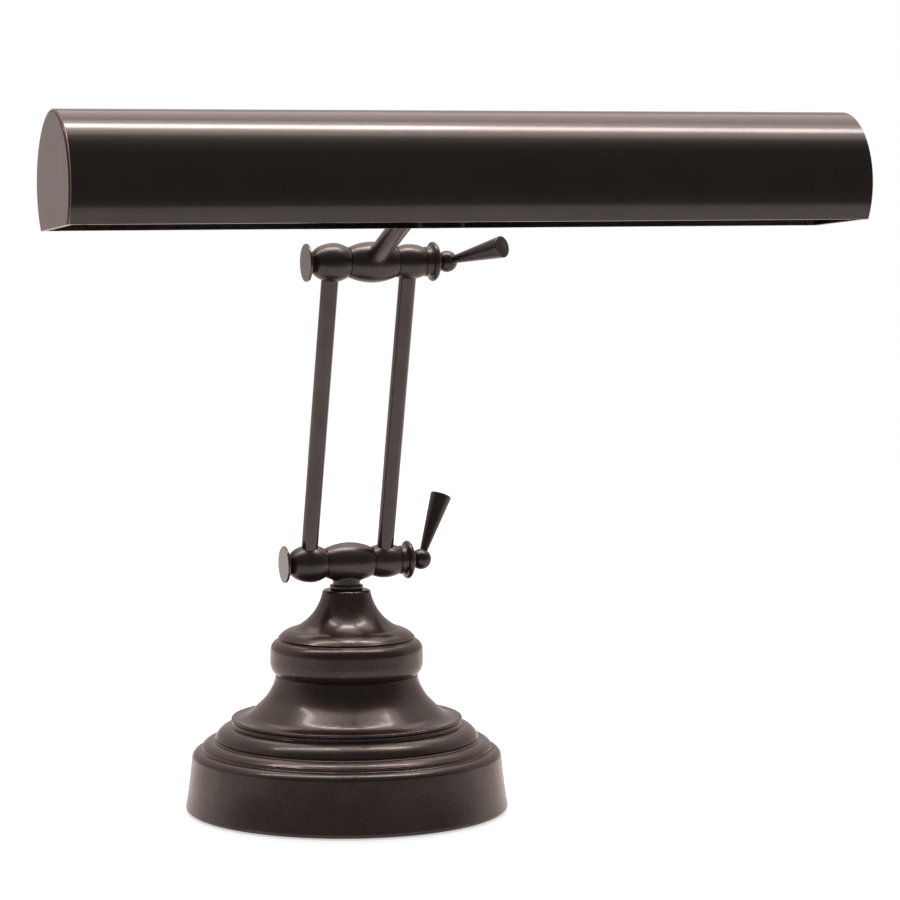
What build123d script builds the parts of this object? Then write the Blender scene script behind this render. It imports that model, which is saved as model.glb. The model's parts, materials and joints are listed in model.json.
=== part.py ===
"""Piano lamp: weighted turned base, twin swing arms, clamp levers and a trough shade with two bulbs.

Millimetres, +Z up.  The origin is the centre of the face that the lamp rests on.
+X runs along the hub axes towards the clamp levers, and the shade hangs out towards -Y.
"""

import os
from math import cos, radians, sin, sqrt

from build123d import *

# ------------------------------------------------------------------ driving dimensions
# base
BASE_RADIUS = 77.1            # skirt at the table
BASE_TOP = 106.0              # flat rim that carries the check ring
NECK_JOINT = 82.5             # the base is spun in four pieces that meet in the grooves
RING_JOINT = 65.1
FLARE_JOINT = 34.4
RIM_LIFT = 0.5                # the metal rim stands this far off the table, the felt touches it
SKIRT_INNER = 74.7
FELT = 2.0
PLATE = 1.5
WEIGHT_START = FELT + PLATE   # underside of the weight
WEIGHT_RADIUS = 70.0
WEIGHT_HEIGHT = 13.0
WEIGHT_TOP = WEIGHT_START + WEIGHT_HEIGHT
POCKET_RADIUS = 12.0          # pocket under the weight for the nut and its washer
POCKET_DEPTH = 8.0
CORD_SLOT = 12.0              # width of the slot that leads from the pocket to the bushing
SCREW_CIRCLE = 52.0           # three countersunk screws hold the bottom plate
SCREW_START = 30.0            # degrees from +X to the first of them
SCREW_RADIUS = 2.0
SCREW_HEAD = 3.4
SCREW_DEPTH = 9.0             # head and shank together
SCREW_TAPER = 43.0            # degrees between the countersink and the screw's axis
NIPPLE_RADIUS = 4.85          # 1/8 IP lamp pipe
NIPPLE_BORE = 3.5
NIPPLE_START = 4.6
NIPPLE_THREAD = 5.9           # length of pipe inside the lower knuckle's boss
NUT_START = 5.1
NUT_HEIGHT = 5.0
LOCK_WASHER = 1.4
CHECK_RING = 2.4              # height of the ring between the base and the lower hub
CHECK_RADIUS = 8.0
CORD_HEIGHT = 12.0            # cord bushing above the table
CORD_BORE = 3.4
CORD_FACE = 75.0              # flat spot that the bushing's flange sits on
BUSHING_FLANGE = 1.6
BUSHING_FLANGE_RADIUS = 7.4
BUSHING_RADIUS = 5.4
BUSHING_DEPTH = 4.8

# hubs and arms
LOWER_HUB = (0.0, 118.9)      # Y and Z of the lower hub axis
UPPER_HUB = (-37.6, 263.1)    # Y and Z of the upper hub axis
ARM_X = 18.9                  # arms stand this far each side of the middle
ARM_RADIUS = 4.0
ARM_BORE = 3.1
ARM_SEAT = 4.2                # the tubes stop this far from the hub axis
BOLT_RADIUS = 2.5
BOLT_TIP = 35.4
JOINT_LEFT = -11.0            # where the left knuckle meets its friction washer
JOINT_RIGHT = 13.0
BARREL_MID = 1.0              # middle of the centre barrel, and of the lamp head
BARREL_RADIUS = 9.5
BARREL_END = 7.0
BOSS_RADIUS = 6.5             # boss under the lower barrel
BOSS_FILLET = 1.5
WASHER = 0.6
LEFT_END = -28.3              # outer end of the left knuckle
LEFT_NECK = 4.4
RIGHT_END = 26.4              # outer end of the right knuckle
RIGHT_NECK = 6.5
CAP_FACE = -31.4              # flat face of the bolt's round head
CAP_RADIUS = 8.85
COLLAR_DISH = 31.0            # floor of the dish in the collar's flange
COLLAR_FACE = 32.2            # outer face of the flanged collar

# clamp levers
BALL_X = 37.6
BALL_RADIUS = 5.0
BALL_NECK = 3.4
LEVER_GAP = 0.05              # between the ball's neck and the collar
LEVER_LENGTH = 33.2
LEVER_SEAT = 2.0              # the lever starts this far from the ball's centre
LEVER_ROOT = 1.9              # cone radius at the ball
LEVER_TIP = 5.1               # cone radius at the free end
LEVER_ANGLES = {              # degrees from +X, and about +X from +Y (back) towards +Z (up)
    "lower": (67.5, 77.0),
    "upper": (57.7, 164.8),
}

# lamp head
SHADE_LENGTH = 355.6          # fourteen inches
SHADE_RADIUS = 31.3
SHADE_RISE = 17.3             # centre of the round above the plane of the two rims
SHADE_WALL = 0.9
END_EDGE = 0.3                # the shell's cut ends are rounded on the outside
SHADE_TILT = 4.2              # degrees, front rim raised
SHADE_Y = -168.0              # middle of the rim plane
SHADE_Z = 282.8
HEM = 1.9                     # folded rim, thickness and height
HEM_HEIGHT = 4.0
HEM_STOP = 8.0                # the folded rim stops this far from each end
CAP_PROUD = 0.5               # the pressed caps stand this far out of the shell
CAP_EDGE = 1.2                # their outer edge is rounded
CAP_RETURN = 2.5              # length of the flange along the open side
CAP_WALL = 0.8
CAP_FLANGE = 6.0
ROD_RADIUS = 4.7
ROD_BORE = 3.3
ROD_RISE = 23.4               # degrees above the horizontal, towards the front
ROD_BEND = 60.0
ROD_SEAT = 3.8                # the rod starts this far from the hub axis
ROD_NUT = 24.0                # places along the rod's end, from the middle of the shade
ROD_END = 22.4
COLLAR_FLANGE = 9.0           # collar where the rod enters the shade
COLLAR_NECK = 6.9

# sockets, bulbs and switch
BULB_RISE = 19.0              # bulb axis above the plane of the rims
BULB_RADIUS = 15.9            # T10
BULB_LENGTH = 143.0
BULB_START = 4.8              # contact tip of the bulb, from the bracket's ear
CUP_START = 17.0              # the envelope starts this far inside the screw base
SHOULDER_START = 41.0         # where the bulb's neck starts to widen
SHOULDER_END = 54.0
DOME = 13.0                   # length of the bulb's domed end
GLASS = 1.0
SOCKET_RADIUS = 16.5
SOCKET_LENGTH = 39.5
SOCKET_FLOOR = 4.0
SOCKET_SCREW = 9.0            # socket screws, each side of the bulb axis
SOCKET_SCREW_RADIUS = 1.5
SOCKET_SCREW_HEAD = 1.4
SOCKET_SCREW_DEPTH = 3.0
SCREW_BASE = 13.0             # E26 screw base
EAR_GAP = 18.0                # between the two ears of the socket bracket
EAR_BACK = 28.3               # outer ends of the ears, near the shade's back wall
STRIP_BACK = 28.1             # face of the back strip that the rod nut bears on
EAR_FRONT = -12.3
EAR_HEIGHT = 20.0
SHEET = 1.5                   # bracket sheet
SWITCH_BACK = -1.5            # switch axis, from the middle of the shade
SWITCH_PLATE = 12.5           # plate that carries the switch, above the rims
SWITCH_NECK = 4.6
NECK_END = 9.2                # free end of the switch's threaded neck
SPINDLE = 2.4
SPINDLE_LENGTH = 9.0
KNOB_START = 3.6              # the knob stays above the plane of the rims
KNOB_RADIUS = 7.5
KNOB_HEIGHT = 5.2
FLUTES = 12

FIT = 0.05                    # radial clearance of turning parts
SEAT = 0.03                   # radial clearance of parts that are screwed or pressed together


# ------------------------------------------------------------------ planes and directions
def hub_plane(hub):
    """Plane through a hub axis: local x along the hub, local y up."""
    return Plane(origin=(0, hub[0], hub[1]), x_dir=(1, 0, 0), z_dir=(0, -1, 0))


def hub_axis(hub):
    return Axis((0, hub[0], hub[1]), (1, 0, 0))


ARM_SPAN = sqrt((UPPER_HUB[0] - LOWER_HUB[0]) ** 2 + (UPPER_HUB[1] - LOWER_HUB[1]) ** 2)
ARM_UP = Vector(0, UPPER_HUB[0] - LOWER_HUB[0], UPPER_HUB[1] - LOWER_HUB[1]).normalized()

TILT = radians(SHADE_TILT)
SHADE_BACK = Vector(0, cos(TILT), -sin(TILT))     # across the shade, towards the back rim
SHADE_UP = Vector(0, sin(TILT), cos(TILT))        # out of the rim plane, into the hollow
RISE = radians(ROD_RISE)
ROD_OUT = Vector(0, -cos(RISE), sin(RISE))        # from the upper hub towards the shade


def shade_point(x, back, up):
    """A point of the head, from its place across and above the plane of the rims."""
    return Vector(x, SHADE_Y, SHADE_Z) + SHADE_BACK * back + SHADE_UP * up


def section_plane(x):
    """Cross-section of the shade at x: local x towards the back rim, local y up."""
    return Plane(origin=shade_point(x, 0, 0), x_dir=SHADE_BACK, z_dir=(1, 0, 0))


def level_plane(back, up):
    """Plane parallel to the rims: local x along the lamp, looking up into the shade."""
    return Plane(origin=shade_point(BARREL_MID, back, up), x_dir=(1, 0, 0), z_dir=SHADE_UP)


def wall_plane(back):
    """Plane square to the rod where it enters the shade, on the rod's own line."""
    centre = shade_point(BARREL_MID, back, SHADE_RISE)
    return Plane(origin=centre, x_dir=(1, 0, 0), z_dir=SHADE_BACK)


def save(solid, name):
    solid.label = name
    export_step(solid, f"parts/{name}.step")


# ------------------------------------------------------------------ base
def add_base_shell():
    """The whole spun shell: rim, trumpet neck, round bead, flare with a lip, two beads and skirt."""
    with BuildPart(mode=Mode.PRIVATE) as shell:
        with BuildSketch(Plane.XZ):
            with BuildLine():
                Polyline((5.0, 103.4), (5.0, BASE_TOP), (10.2, BASE_TOP))
                ThreePointArc((10.2, BASE_TOP), (11.2, 105.5), (11.7, 104.4))
                ThreePointArc((11.7, 104.4), (16.6, 94.1), (25.4, 87.4))
                ThreePointArc((25.4, 87.4), (30.0, 85.65), (32.7, 83.2))
                Polyline((32.7, 83.2), (32.2, NECK_JOINT), (33.0, 81.9))
                ThreePointArc((33.0, 81.9), (35.5, 80.1), (36.5, 77.0))
                Line((36.5, 77.0), (36.6, 72.0))
                ThreePointArc((36.6, 72.0), (36.0, 68.3), (34.3, 65.7))
                Polyline((34.3, 65.7), (33.6, RING_JOINT), (34.1, 64.4))
                Spline(
                    (34.1, 64.4), (36.2, 58.4), (38.6, 54.5), (41.2, 51.7), (44.3, 48.75), (47.5, 46.0),
                    (50.7, 44.75), (54.1, 44.6), tangents=((0.17, -0.98), (1, 0)),
                )
                ThreePointArc((54.1, 44.6), (55.3, 43.95), (54.8, 43.2))
                ThreePointArc((54.8, 43.2), (54.4, 41.9), (56.0, 41.0))
                ThreePointArc((56.0, 41.0), (60.6, 38.8), (63.0, 35.2))
                Polyline((63.0, 35.2), (62.8, FLARE_JOINT), (63.6, 33.9))
                ThreePointArc((63.6, 33.9), (67.0, 33.3), (69.2, 31.5))
                ThreePointArc((69.2, 31.5), (69.0, 30.4), (70.0, 29.6))
                ThreePointArc((70.0, 29.6), (72.6, 28.6), (74.1, 26.4))
                ThreePointArc((74.1, 26.4), (75.4, 14.0), (BASE_RADIUS, 2.4))
                ThreePointArc((BASE_RADIUS, 2.4), (76.8, 1.1), (75.8, RIM_LIFT))
                Line((75.8, RIM_LIFT), (SKIRT_INNER, RIM_LIFT))
                Polyline(
                    (SKIRT_INNER, RIM_LIFT), (72.1, WEIGHT_TOP), (68.4, WEIGHT_TOP), (69.5, 25.0),
                    (64.5, 29.5), (60.0, 31.0), (59.0, 36.5), (53.0, 38.5), (51.8, 42.5), (46.0, 46.0),
                    (39.4, 49.2), (33.6, 56.0), (30.8, 65.4), (32.8, 74.4), (30.0, 80.6), (23.4, 85.4),
                    (13.6, 93.6), (8.8, 102.2), (8.0, 103.4), (5.0, 103.4),
                )
            make_face()
        revolve(axis=Axis.Z)
        rear = Plane(origin=(0, CORD_FACE, CORD_HEIGHT), z_dir=(0, 1, 0))
        with BuildSketch(rear):
            Circle(BUSHING_FLANGE_RADIUS + SEAT)
        extrude(amount=4, mode=Mode.SUBTRACT)
        with BuildSketch(rear):
            Circle(BUSHING_RADIUS + SEAT)
        extrude(amount=-6, mode=Mode.SUBTRACT)
    add(shell.part)


def make_base_piece(low, high):
    """One of the four spun pieces that the pipe draws together, from one groove to the next."""
    with BuildPart() as piece:
        add_base_shell()
        with Locations((0, 0, (low + high) / 2)):
            Box(3 * BASE_RADIUS, 3 * BASE_RADIUS, high - low, mode=Mode.INTERSECT)
    return piece.part


def make_check_ring():
    with BuildPart() as ring:
        with BuildSketch(Plane.XY.offset(BASE_TOP)):
            Circle(CHECK_RADIUS)
            Circle(NIPPLE_RADIUS + SEAT, mode=Mode.SUBTRACT)
        extrude(amount=CHECK_RING)
        outer = ring.edges().filter_by(GeomType.CIRCLE).group_by(SortBy.RADIUS)[-1]
        fillet(outer, radius=0.9)
    return ring.part


def make_base_weight():
    """Cast-iron disc with a pocket for the nut, a slot for the cord and three screw holes."""
    underside = Plane.XY.offset(WEIGHT_START)
    with BuildPart() as weight:
        with BuildSketch(underside):
            Circle(WEIGHT_RADIUS)
            Circle(NIPPLE_RADIUS + SEAT, mode=Mode.SUBTRACT)
        extrude(amount=WEIGHT_HEIGHT)
        chamfer(weight.edges().group_by(Axis.Z)[-1].group_by(SortBy.RADIUS)[-1], length=1.5)
        with BuildSketch(underside):
            Circle(POCKET_RADIUS)
        extrude(amount=POCKET_DEPTH, mode=Mode.SUBTRACT)
        with BuildSketch(underside):
            with Locations((0, POCKET_RADIUS)):
                Rectangle(CORD_SLOT, WEIGHT_RADIUS, align=(Align.CENTER, Align.MIN))
        extrude(amount=WEIGHT_HEIGHT, mode=Mode.SUBTRACT)
        with BuildSketch(underside):
            with PolarLocations(SCREW_CIRCLE, 3, start_angle=SCREW_START):
                Circle(SCREW_RADIUS + SEAT)
        extrude(amount=SCREW_DEPTH, mode=Mode.SUBTRACT)
    return weight.part


def make_bottom_plate():
    with BuildPart() as plate:
        with BuildSketch(Plane.XY.offset(FELT)):
            Circle(SKIRT_INNER - 0.6)
        extrude(amount=PLATE)
        with BuildSketch(Plane.XY.offset(FELT)):
            with PolarLocations(SCREW_CIRCLE, 3, start_angle=SCREW_START):
                Circle(SCREW_HEAD + SEAT)
        extrude(amount=PLATE, taper=SCREW_TAPER, mode=Mode.SUBTRACT)
    return plate.part


def make_cover_screws():
    """Three countersunk screws that hold the bottom plate to the weight."""
    with BuildPart() as screws:
        with BuildSketch(Plane.XY.offset(FELT)):
            with PolarLocations(SCREW_CIRCLE, 3, start_angle=SCREW_START):
                Circle(SCREW_HEAD)
        extrude(amount=PLATE, taper=SCREW_TAPER)
        with BuildSketch(Plane.XY.offset(FELT)):
            with PolarLocations(SCREW_CIRCLE, 3, start_angle=SCREW_START):
                Circle(SCREW_RADIUS)
        extrude(amount=SCREW_DEPTH)
    return screws.part


def make_felt_pad():
    with BuildPart() as felt:
        with BuildSketch(Plane.XY):
            Circle(SKIRT_INNER - 0.6)
        extrude(amount=FELT)
    return felt.part


def make_base_nipple():
    """Threaded lamp pipe from under the weight up into the boss of the lower hub."""
    with BuildPart() as nipple:
        with BuildSketch(Plane.XY.offset(NIPPLE_START)):
            Circle(NIPPLE_RADIUS)
            Circle(NIPPLE_BORE, mode=Mode.SUBTRACT)
        extrude(amount=BASE_TOP + CHECK_RING + NIPPLE_THREAD - NIPPLE_START)
    return nipple.part


def make_lock_washer():
    with BuildPart() as washer:
        with BuildSketch(Plane.XY.offset(NUT_START + NUT_HEIGHT)):
            Circle(POCKET_RADIUS - 1.5)
            Circle(NIPPLE_RADIUS + SEAT, mode=Mode.SUBTRACT)
        extrude(amount=LOCK_WASHER)
    return washer.part


def make_nipple_nut():
    with BuildPart() as nut:
        with BuildSketch(Plane.XY.offset(NUT_START)):
            RegularPolygon(8.5, 6, major_radius=False)
            Circle(NIPPLE_RADIUS + SEAT, mode=Mode.SUBTRACT)
        extrude(amount=NUT_HEIGHT)
    return nut.part


def make_cord_bushing():
    """Snap bushing in the back of the skirt, where a cord would come in."""
    rear = Plane(origin=(0, CORD_FACE, CORD_HEIGHT), z_dir=(0, 1, 0))
    with BuildPart() as bushing:
        with BuildSketch(rear):
            Circle(BUSHING_FLANGE_RADIUS)
        extrude(amount=BUSHING_FLANGE)
        fillet(bushing.edges().group_by(Axis.Y)[-1], radius=0.9)
        with BuildSketch(rear):
            Circle(BUSHING_RADIUS)
        extrude(amount=-BUSHING_DEPTH)
        with BuildSketch(rear.offset(BUSHING_FLANGE)):
            Circle(CORD_BORE)
        extrude(amount=-BUSHING_FLANGE - BUSHING_DEPTH, mode=Mode.SUBTRACT)
    return bushing.part


# ------------------------------------------------------------------ hubs
def add_barrel(hub):
    """Centre barrel of a hub, swollen in the middle, with the clearance hole for the bolt."""
    left = JOINT_LEFT + WASHER + FIT
    right = JOINT_RIGHT - WASHER - FIT
    with BuildSketch(hub_plane(hub)) as outline:
        with BuildLine():
            ThreePointArc((left, BARREL_END), (BARREL_MID, BARREL_RADIUS), (right, BARREL_END))
            Polyline((right, BARREL_END), (right, 0), (left, 0), (left, BARREL_END))
        make_face()
    revolve(outline.sketch, axis=hub_axis(hub))


def drill_hub(hub, radius):
    """Hole along the hub axis, right through."""
    start = Plane(origin=(CAP_FACE, hub[0], hub[1]), z_dir=(1, 0, 0))
    with BuildSketch(start) as hole:
        Circle(radius)
    extrude(hole.sketch, amount=COLLAR_FACE - CAP_FACE, mode=Mode.SUBTRACT)


def make_base_knuckle():
    """Lower barrel with the boss that stands on the check ring."""
    with BuildPart() as knuckle:
        add_barrel(LOWER_HUB)
        with BuildSketch(Plane.XY.offset(BASE_TOP + CHECK_RING)):
            Circle(BOSS_RADIUS)
        extrude(amount=LOWER_HUB[1] - BASE_TOP - CHECK_RING - 4.5)
        fillet(knuckle.edges(Select.NEW), radius=BOSS_FILLET)
        with BuildSketch(Plane.XY.offset(BASE_TOP + CHECK_RING)):
            Circle(NIPPLE_RADIUS + SEAT)
        extrude(amount=NIPPLE_THREAD + 0.3, mode=Mode.SUBTRACT)
        drill_hub(LOWER_HUB, BOLT_RADIUS + FIT)
    return knuckle.part


def make_head_knuckle():
    """Upper barrel with the seat for the support rod in its front."""
    with BuildPart() as knuckle:
        add_barrel(UPPER_HUB)
        seat = Vector(BARREL_MID, *UPPER_HUB) + ROD_OUT * ROD_SEAT
        with BuildSketch(Plane(origin=seat, z_dir=ROD_OUT)):
            Circle(ROD_RADIUS + SEAT)
        extrude(amount=12, mode=Mode.SUBTRACT)
        drill_hub(UPPER_HUB, BOLT_RADIUS + FIT)
    return knuckle.part


def seat_arm(hub, side, direction):
    """Blind hole across a knuckle for the end of an arm tube."""
    bottom = Vector(side * ARM_X, *hub) + direction * ARM_SEAT
    with BuildSketch(Plane(origin=bottom, z_dir=direction)) as hole:
        Circle(ARM_RADIUS + SEAT)
    extrude(hole.sketch, amount=12, mode=Mode.SUBTRACT)


def make_left_knuckle(hub, direction):
    """Round knuckle that narrows to a neck under the bolt's head."""
    with BuildPart() as knuckle:
        with BuildSketch(hub_plane(hub)):
            with BuildLine():
                Line((LEFT_END, 0), (LEFT_END, LEFT_NECK))
                Spline(
                    (LEFT_END, LEFT_NECK), (-25.2, 7.2), (-19.2, 8.95), (JOINT_LEFT, BARREL_END),
                    tangents=[(0.75, 1.0), (1.0, -0.52)],
                )
                Polyline((JOINT_LEFT, BARREL_END), (JOINT_LEFT, 0), (LEFT_END, 0))
            make_face()
        revolve(axis=hub_axis(hub))
        seat_arm(hub, -1, direction)
        drill_hub(hub, BOLT_RADIUS + SEAT)
    return knuckle.part


def make_right_knuckle(hub, direction):
    """Shorter round knuckle on the lever side."""
    with BuildPart() as knuckle:
        with BuildSketch(hub_plane(hub)):
            with BuildLine():
                ThreePointArc((JOINT_RIGHT, BARREL_END), (ARM_X, 8.2), (RIGHT_END, RIGHT_NECK))
                Polyline(
                    (RIGHT_END, RIGHT_NECK), (RIGHT_END, 0), (JOINT_RIGHT, 0), (JOINT_RIGHT, BARREL_END),
                )
            make_face()
        revolve(axis=hub_axis(hub))
        seat_arm(hub, 1, direction)
        drill_hub(hub, BOLT_RADIUS + SEAT)
    return knuckle.part


def make_friction_washers(hub):
    """The two thin washers between the barrel and its knuckles."""
    with BuildPart() as washers:
        for start in (JOINT_LEFT, JOINT_RIGHT - WASHER):
            with BuildSketch(Plane(origin=(start, hub[0], hub[1]), z_dir=(1, 0, 0))):
                Circle(BARREL_END - 0.7)
                Circle(BOLT_RADIUS + SEAT, mode=Mode.SUBTRACT)
            extrude(amount=WASHER)
    return washers.part


def make_bolt(hub):
    """Through bolt with a wide flat round head, bevelled behind."""
    with BuildPart() as bolt:
        with BuildSketch(hub_plane(hub)):
            with BuildLine():
                Line((CAP_FACE, 0), (CAP_FACE, CAP_RADIUS - 0.5))
                ThreePointArc(
                    (CAP_FACE, CAP_RADIUS - 0.5), (CAP_FACE + 0.15, CAP_RADIUS - 0.12),
                    (CAP_FACE + 0.5, CAP_RADIUS),
                )
                Polyline(
                    (CAP_FACE + 0.5, CAP_RADIUS), (CAP_FACE + 1.1, CAP_RADIUS - 0.1),
                    (LEFT_END, LEFT_NECK + 0.2), (LEFT_END, BOLT_RADIUS), (BOLT_TIP - 0.6, BOLT_RADIUS),
                    (BOLT_TIP, BOLT_RADIUS - 0.6), (BOLT_TIP, 0), (CAP_FACE, 0),
                )
            make_face()
        revolve(axis=hub_axis(hub))
    return bolt.part


def make_collar(hub):
    """Collar with a rounded, dished flange that the clamp lever bears on."""
    with BuildPart() as collar:
        with BuildSketch(hub_plane(hub)):
            with BuildLine():
                Polyline(
                    (RIGHT_END, BOLT_RADIUS + SEAT), (RIGHT_END, RIGHT_NECK), (RIGHT_END + 0.4, 6.9),
                    (28.4, 6.9),
                )
                ThreePointArc((28.4, 6.9), (29.1, 7.3), (29.5, 8.2))
                ThreePointArc((29.5, 8.2), (30.6, 9.2), (31.7, 8.6))
                ThreePointArc((31.7, 8.6), (COLLAR_FACE, 7.6), (31.6, 6.7))
                Polyline(
                    (31.6, 6.7), (COLLAR_DISH, 5.2), (COLLAR_DISH, BOLT_RADIUS + SEAT),
                    (RIGHT_END, BOLT_RADIUS + SEAT),
                )
            make_face()
        revolve(axis=hub_axis(hub))
    return collar.part


# ------------------------------------------------------------------ clamp levers
def lever_direction(place):
    """Unit vector from the ball to the lever's tip."""
    splay, about = LEVER_ANGLES[place]
    out = sin(radians(splay))
    return Vector(cos(radians(splay)), out * cos(radians(about)), out * sin(radians(about)))


def make_ball_nut(hub, direction):
    """Ball with a short neck, threaded on the bolt, and a hole for the lever."""
    start = COLLAR_DISH + LEVER_GAP
    neck_end = BALL_X - sqrt(BALL_RADIUS ** 2 - BALL_NECK ** 2)
    with BuildPart() as ball:
        with BuildSketch(hub_plane(hub)):
            with BuildLine():
                Polyline((start, 0), (start, BALL_NECK), (neck_end, BALL_NECK))
                ThreePointArc((neck_end, BALL_NECK), (BALL_X, BALL_RADIUS), (BALL_X + BALL_RADIUS, 0))
                Line((BALL_X + BALL_RADIUS, 0), (start, 0))
            make_face()
        revolve(axis=hub_axis(hub))
        with BuildSketch(Plane(origin=(start, hub[0], hub[1]), z_dir=(1, 0, 0))):
            Circle(BOLT_RADIUS + FIT)
        extrude(amount=BOLT_TIP + 0.3 - start, mode=Mode.SUBTRACT)
        seat = Vector(BALL_X, *hub) + direction * LEVER_SEAT
        with BuildSketch(Plane(origin=seat, z_dir=direction)):
            Circle(LEVER_ROOT + SEAT)
        extrude(amount=BALL_RADIUS, mode=Mode.SUBTRACT)
    return ball.part


def make_lever(hub, direction):
    """Tapered lever: thin at the ball, wide at its flat free end."""
    side = direction.cross(Vector(0, 1, 0.5)).normalized()
    centre = Vector(BALL_X, *hub)
    corner = (LEVER_TIP, LEVER_LENGTH - 0.5)
    face = (LEVER_TIP - 0.6, LEVER_LENGTH)
    with BuildPart() as lever:
        with BuildSketch(Plane(origin=centre, x_dir=side, z_dir=side.cross(direction))):
            with BuildLine():
                Polyline(
                    (0, LEVER_SEAT), (LEVER_ROOT, LEVER_SEAT), (LEVER_ROOT, BALL_RADIUS), corner,
                )
                ThreePointArc(corner, (LEVER_TIP - 0.15, LEVER_LENGTH - 0.12), face)
                Polyline(face, (0, LEVER_LENGTH + 0.3), (0, LEVER_SEAT))
            make_face()
        revolve(axis=Axis(centre, direction))
    return lever.part


# ------------------------------------------------------------------ arms
def make_arm(side):
    """Straight tube between the two hubs."""
    foot = Vector(side * ARM_X, *LOWER_HUB) + ARM_UP * ARM_SEAT
    with BuildPart() as arm:
        with BuildSketch(Plane(origin=foot, z_dir=ARM_UP)):
            Circle(ARM_RADIUS)
            Circle(ARM_BORE, mode=Mode.SUBTRACT)
        extrude(amount=ARM_SPAN - 2 * ARM_SEAT)
    return arm.part


# ------------------------------------------------------------------ lamp head
def shade_round(radius):
    """Round of the shade above the rim plane, drawn on the current section."""
    with Locations((0, SHADE_RISE)):
        Circle(radius)


def trim_below(height):
    """Cut away the part of the current section under a height above the rims."""
    with Locations((0, height - SHADE_RADIUS)):
        Rectangle(4 * SHADE_RADIUS, 2 * SHADE_RADIUS, mode=Mode.SUBTRACT)


def make_shade_shell():
    """Rolled sheet trough, open below, with a folded hem along both rims."""
    half = SHADE_LENGTH / 2
    with BuildPart() as shade:
        with BuildSketch(section_plane(-half)):
            shade_round(SHADE_RADIUS)
            with Locations((0, SHADE_RISE)):
                Circle(SHADE_RADIUS - SHADE_WALL, mode=Mode.SUBTRACT)
            trim_below(0)
        extrude(amount=SHADE_LENGTH)
        with BuildSketch(section_plane(-half + HEM_STOP)):
            shade_round(SHADE_RADIUS - SHADE_WALL / 2)
            with Locations((0, SHADE_RISE)):
                Circle(SHADE_RADIUS - HEM, mode=Mode.SUBTRACT)
            trim_below(0)
            with Locations((0, HEM_HEIGHT + SHADE_RADIUS)):
                Rectangle(4 * SHADE_RADIUS, 2 * SHADE_RADIUS, mode=Mode.SUBTRACT)
        extrude(amount=SHADE_LENGTH - 2 * HEM_STOP)
        with BuildSketch(wall_plane(SHADE_RADIUS - 6)):
            Circle(ROD_RADIUS + SEAT)
        extrude(amount=10, mode=Mode.SUBTRACT)
        ends = shade.faces().sort_by(Axis.X)
        for face in (ends[0], ends[-1]):
            rounds = face.edges().filter_by(lambda edge: edge.geom_type == GeomType.CIRCLE)
            fillet([edge for edge in rounds if edge.radius > SHADE_RADIUS - 0.1], END_EDGE)
    return shade.part


def make_end_cap(side):
    """D-shaped pressed cap with a rounded edge and a short flange inside the shell."""
    edge = SHADE_RADIUS - SHADE_WALL - SEAT
    outside = SHADE_LENGTH / 2 + CAP_PROUD
    flange = outside - CAP_FLANGE if side > 0 else -outside
    inside = flange if side > 0 else CAP_WALL - outside
    clear = outside - CAP_FLANGE if side > 0 else CAP_RETURN - outside
    with BuildPart() as cap:
        with BuildSketch(section_plane(flange)):
            shade_round(edge)
            trim_below(0)
        extrude(amount=CAP_FLANGE)
        face = cap.faces().sort_by(Axis.X)[-1 if side > 0 else 0]
        fillet(face.edges().filter_by(GeomType.CIRCLE), CAP_EDGE)
        with BuildSketch(section_plane(inside)):
            shade_round(edge - CAP_WALL)
            trim_below(CAP_WALL)
        extrude(amount=CAP_FLANGE - CAP_WALL, mode=Mode.SUBTRACT)
        with BuildSketch(section_plane(clear)):
            shade_round(edge - CAP_WALL)
            trim_below(-CAP_WALL)
        extrude(amount=CAP_FLANGE - CAP_RETURN, mode=Mode.SUBTRACT)
    return cap.part


def rod_corner():
    """Where the rod's rising line meets the line square to the back of the shade."""
    round_centre = shade_point(BARREL_MID, 0, SHADE_RISE)
    gap = Vector(BARREL_MID, *UPPER_HUB) - round_centre
    reach = (gap.Y * ROD_OUT.Z - gap.Z * ROD_OUT.Y) / (SHADE_BACK.Y * ROD_OUT.Z - SHADE_BACK.Z * ROD_OUT.Y)
    return round_centre + SHADE_BACK * reach


def make_support_rod():
    """Tube from the upper barrel, bent gently to enter the back of the shade square on."""
    start = Vector(BARREL_MID, *UPPER_HUB) + ROD_OUT * ROD_SEAT
    end = shade_point(BARREL_MID, ROD_END, SHADE_RISE)
    with BuildPart() as rod:
        with BuildLine() as path:
            FilletPolyline(start, rod_corner(), end, radius=ROD_BEND)
        with BuildSketch(Plane(origin=start, z_dir=ROD_OUT)):
            Circle(ROD_RADIUS)
            Circle(ROD_BORE, mode=Mode.SUBTRACT)
        sweep(path=path.wires()[0])
    return rod.part


def make_rod_collar():
    """Round flange on the rod, hollowed to sit on the curved back of the shade."""
    with BuildPart() as collar:
        with BuildSketch(wall_plane(SHADE_RADIUS - 2.0)):
            Circle(COLLAR_FLANGE)
        extrude(amount=4.2)
        with BuildSketch(wall_plane(SHADE_RADIUS + 2.2)):
            Circle(COLLAR_NECK)
        extrude(amount=4.0)
        with BuildSketch(section_plane(BARREL_MID - 2 * COLLAR_FLANGE)):
            shade_round(SHADE_RADIUS + SEAT)
        extrude(amount=4 * COLLAR_FLANGE, mode=Mode.SUBTRACT)
        with BuildSketch(wall_plane(ROD_NUT)):
            Circle(ROD_RADIUS + SEAT)
        extrude(amount=SHADE_RADIUS, mode=Mode.SUBTRACT)
    return collar.part


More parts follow.
